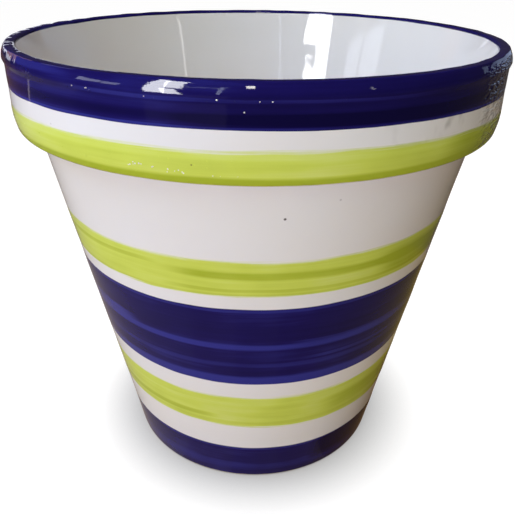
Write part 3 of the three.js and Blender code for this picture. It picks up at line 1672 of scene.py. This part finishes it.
@dataclass(frozen=True)
class Card:
    """A card on the floor that only the gloss shows: a part of a ring round the pot.

    Attributes:
        name: its name.
        tone: how bright it is.
        inner: its inner radius, in metres.
        outer: its outer radius, in metres.
        start: where it starts, in degrees to the right of the front.
        end: where it ends.
        LIFT: how far over the floor it lies, in metres.
        EDGE_POINTS: how many corners each of its round edges has.
    """

    name: str
    tone: RGB
    inner: float
    outer: float
    start: float
    end: float

    LIFT = 0.0015
    EDGE_POINTS = 25

    def lay(self) -> None:
        """Lays the card just over the floor."""
        turns = np.linspace(self.start, self.end, self.EDGE_POINTS)
        rim = [Vector(direction(turn)) * self.outer for turn in turns]
        rim += [Vector(direction(turn)) * self.inner for turn in turns[::-1]]
        points = [point + Vector((0, 0, self.LIFT)) for point in rim]
        last = len(points) - 1
        faces = [(i, i + 1, last - i - 1, last - i) for i in range(len(turns) - 1)]
        in_the_gloss(stage_sheet(self.name, points, faces, even_tone(self.name, self.tone)))


@dataclass
class Studio:
    """A pale floor, soft lamps and the world around them.

    Attributes:
        rim_height: the height that the lamps face.
        floor_half: half of the floor's width.
        floor_tone: the floor's colour where it is seen.
        floor_glow: how bright the floor shines where nothing shades it.
        floor_bounce: the floor's colour in the light that it throws on the pot.
        shade_reach: how far the shadow painted into the floor's glow reaches, in metres.
        shade_samples: how many rays find that shade.
        ambient: the even light on the pot.
        dome_radius: the radius of the dome that the gloss shows.
        dome_tone: how bright that is.
        dome_rings: how many rings of faces it has.
        dome_spokes: how many faces a ring has.
        cards: the cards on the floor.
        lamps: the lamps.
    """

    rim_height: float = 0.26
    floor_half: float = 6.0
    floor_tone: RGB = (0.150, 0.139, 0.132)
    floor_glow: float = 0.985
    floor_bounce: RGB = (0.60, 0.41, 0.16)
    shade_reach: float = 0.038
    shade_samples: int = 16
    ambient: RGB = (0.03, 0.02, 0.01)
    dome_radius: float = 5.8
    dome_tone: RGB = (0.050, 0.042, 0.040)
    dome_rings: int = 12
    dome_spokes: int = 48
    cards: tuple[Card, ...] = (
        Card("near_card_right", (0.12, 0.07, 0.03), 0.084, 0.14, 34, 180),
        Card("foot_card_right", (0.20, 0.145, 0.04), 0.14, 0.30, 34, 180),
        Card("foot_card_front_right", (0.18, 0.12, 0.06), 0.084, 0.30, 12, 34),
        Card("foot_card_front", (0.22, 0.16, 0.11), 0.084, 0.30, -10, 12),
        Card("foot_card_front_left", (0.28, 0.21, 0.16), 0.084, 0.30, -34, -10),
        Card("foot_card_left", (0.32, 0.26, 0.21), 0.084, 0.30, -180, -34),
        Card("right_card", DIM_ROOM, 0.30, 5.8, -12, 180),
        Card("front_card", DIM_ROOM, 0.30, 0.5, -44, -12),
        Card("pale_card", (0.32, 0.27, 0.42), 0.5, 5.8, -44, -12),
        Card("left_front_card", DIM_ROOM, 0.30, 5.8, -78, -44),
        Card("left_card", (0.24, 0.20, 0.17), 0.30, 1.0, -180, -78),
        Card("wood_card", (0.14, 0.08, 0.06), 1.0, 5.8, -180, -111.5),
        Card("pale_strip", (1.2, 1.0, 1.0), 1.0, 2.5, -111.5, -110.3),
        Card("far_left_card", (0.13, 0.11, 0.11), 1.0, 5.8, -110.3, -78),
    )
    lamps: tuple[Lamp, ...] = (
        Lamp("far_left_lamp", -104, 4, 1.0, 30, 46, 2.85, (1.0, 1.08, 0.99)),
        Lamp("back_lamp", 172, -8, 1.0, 50, 16, 4.0, (1.0, 0.97, 0.93)),
        Lamp("left_lamp", -78, 43, 1.0, 34, 30, 3.75, (0.83, 1.01, 1.54)),
        Lamp("key", -28, 4, 1.0, 30, 30, 0.10, (0.92, 1.00, 1.40)),
        Lamp("low_key", -20, -12, 0.8, 50, 8, 5.95, (0.98, 1.05, 1.66)),
        Lamp("front_lamp", -9, 26, 1.0, 30, 56, 2.45, (1.01, 1.08, 0.92)),
        Lamp("overhead", -90, 81, 1.2, 50, 50, 1.95, (1.06, 0.90, 0.90)),
        Lamp.mirrored("window", (-42.8, 22), (8.4, 46), 36, DAYLIGHT, 5),
        Lamp.mirrored("window_top", (-36.2, 32.2), (8.2, 23.4), 36, DAYLIGHT, 9),
        Lamp.mirrored("window_foot", (-34.8, 8.0), (9.2, 22.0), 36, DAYLIGHT, 9),
        Lamp.mirrored("frame_top", (-22, 28), (14, 1.0), 5, (0.8, 0.88, 1.1)),
        Lamp.mirrored("frame_side", (-15, 18), (0.7, 28), 9, (0.8, 0.88, 1.1)),
        Lamp.mirrored("second_window_near", (-63.9, 16.5), (8.5, 7), 6, SKYLIGHT),
        Lamp.mirrored("second_window_far", (-75.3, 16.5), (11.5, 7), 6, SKYLIGHT),
        Lamp.mirrored("small_lamp", (-2, 34), (6, 8), 45, (1.0, 0.97, 0.85)),
        Lamp.mirrored("door_gap", (48.3, 19.5), (0.9, 7), 14, (1.0, 0.97, 0.93)),
        Lamp.mirrored("left_pane", (-118, 34), (9, 12), 1.8, SKYLIGHT),
        Lamp.mirrored("wood_pane", (-132, 14), (14, 22), 0.8, (1.0, 0.55, 0.3)),
        Lamp.mirrored("back_strip", (-147, 2), (40, 4), 1.6, (0.95, 0.97, 1.05)),
        Lamp.mirrored("right_panel", (131, 6), (36, 16), 0.62, (0.72, 0.92, 1.35)),
    )

    def build(self) -> None:
        """Sets up the world, the floor, the lamps and the plain view transform."""
        scene = bpy.context.scene
        scene.view_settings.view_transform = "Standard"
        scene.world = self.world()
        self.floor()
        self.dome()
        for card in self.cards:
            card.lay()
        for lamp in self.lamps:
            lamp.place(Vector((0, 0, self.rim_height)))

    def world(self) -> bpy.types.World:
        """Builds a world that is white behind the pot and in its gloss.

        Returns:
            The world, which throws only a soft light on the pot.
        """
        shader = Shader(bpy.data.worlds.new("studio"))
        light = shader.node("ShaderNodeBackground", {}, {"Color": (*self.ambient, 1.0)})
        white = shader.node("ShaderNodeBackground", {}, {"Color": (1.0, 1.0, 1.0, 1.0)})
        choice = {"Fac": shader.seen(), 1: light, 2: white}
        return shader.ends_in(shader.node("ShaderNodeMixShader", {}, choice))

    def floor(self) -> None:
        """A plain pale floor: lamps' shadows fall on it, and a shadow is painted into its glow.
        """
        shader = Shader.of_material("pale_floor")
        seen = shader.seen()
        tone = shader.blend(seen, self.floor_bounce, self.floor_tone)
        paper = shader.node("ShaderNodeBsdfDiffuse", {}, {"Color": tone})
        rays, reach = {"samples": self.shade_samples}, {"Distance": self.shade_reach}
        # The glow dims near the pot: a painted shadow.
        open_sky = shader.node("ShaderNodeAmbientOcclusion", rays, reach, "AO")
        strength = seen * self.floor_glow * open_sky
        glow = shader.node("ShaderNodeEmission", {}, {"Strength": strength})
        both = shader.node("ShaderNodeAddShader", {}, {0: paper, 1: glow})
        half = self.floor_half
        corners = ((-half, -half), (half, -half), (half, half), (-half, half))
        outline = [Vector((x, y, 0.0)) for x, y in corners]
        stage_sheet("floor", outline, [range(len(outline))], shader.ends_in(both))

    def dome(self) -> None:
        """A dark dome over the pot, which only its gloss shows."""
        rings, spokes = self.dome_rings, self.dome_spokes
        rises = [0.5 * math.pi * j / rings for j in range(rings + 1)]
        points = [
            Vector(direction(360 * i / spokes)) * math.cos(rise) + Vector((0, 0, math.sin(rise)))
            for rise in rises
            for i in range(spokes)
        ]
        faces = [
            (j * spokes + i, j * spokes + k, (j + 1) * spokes + k, (j + 1) * spokes + i)
            for j in range(rings)
            for i, k in zip(range(spokes), [*range(1, spokes), 0])
        ]
        points = [point * self.dome_radius for point in points]
        tone = even_tone("dark_dome", self.dome_tone)
        in_the_gloss(stage_sheet("dark_dome", points, faces, tone))


def main() -> None:
    """Builds the camera, the pot and the studio."""
    logging.basicConfig(level=logging.INFO, format="%(name)s: %(message)s")
    PhotographCamera().place()
    pieces = PlantPot().build()
    Studio().build()
    log.info("%d pieces stand in the studio", len(pieces))


if __name__ == "__main__":
    main()
